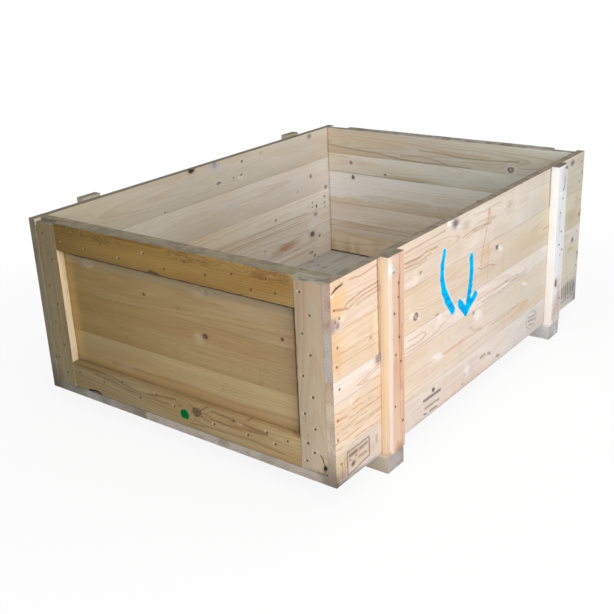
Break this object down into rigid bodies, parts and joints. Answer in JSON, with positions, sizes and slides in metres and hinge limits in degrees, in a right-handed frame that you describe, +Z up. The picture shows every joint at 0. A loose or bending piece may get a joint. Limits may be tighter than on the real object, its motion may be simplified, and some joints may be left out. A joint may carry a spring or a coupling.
{
  "type": "wooden shipping crate",
  "caption": "Open-top nailed pine crate with tongue-and-groove walls and floor, framed ends, outer side battens and two cross skids.",
  "frame": {"origin": "on the ground, at the middle of the crate's plan", "axes": "+X along the crate's length towards the right end, +Y across it towards the back side, +Z up"},
  "size_m": [1.6, 1.2086, 0.6393],
  "materials": {
    "side_pine": "planed pine, pale and warm, with knots",
    "end_pine": "planed pine, tan",
    "floor_pine": "planed pine, dusty and weathered",
    "frame_pine": "planed pine, golden brown",
    "batten_pine": "planed pine, pinkish",
    "skid_pine": "sawn pine, weathered grey"
  },
  "bodies": {
    "root": {"front_side_board_1": "side_pine", "front_side_board_2": "side_pine", "front_side_board_3": "side_pine", "front_side_board_4": "side_pine", "front_side_board_5": "side_pine", "back_side_board_1": "side_pine", "back_side_board_2": "side_pine", "back_side_board_3": "side_pine", "back_side_board_4": "side_pine", "back_side_board_5": "side_pine", "left_end_board_1": "end_pine", "left_end_board_2": "end_pine", "left_end_board_3": "end_pine", "left_end_board_4": "end_pine", "left_end_board_5": "end_pine", "right_end_board_1": "end_pine", "right_end_board_2": "end_pine", "right_end_board_3": "end_pine", "right_end_board_4": "end_pine", "right_end_board_5": "end_pine", "floor_board_1": "floor_pine", "floor_board_2": "floor_pine", "floor_board_3": "floor_pine", "floor_board_4": "floor_pine", "floor_board_5": "floor_pine", "floor_board_6": "floor_pine", "floor_board_7": "floor_pine", "floor_board_8": "floor_pine", "left_frame_front_post": "frame_pine", "left_frame_back_post": "frame_pine", "left_frame_top_rail": "frame_pine", "left_frame_bottom_rail": "frame_pine", "right_frame_front_post": "frame_pine", "right_frame_back_post": "frame_pine", "right_frame_top_rail": "frame_pine", "right_frame_bottom_rail": "frame_pine", "front_batten_left": "batten_pine", "front_batten_right": "batten_pine", "back_batten_left": "batten_pine", "back_batten_right": "batten_pine", "skid_left": "skid_pine", "skid_right": "skid_pine"}
  },
  "joints": []
}
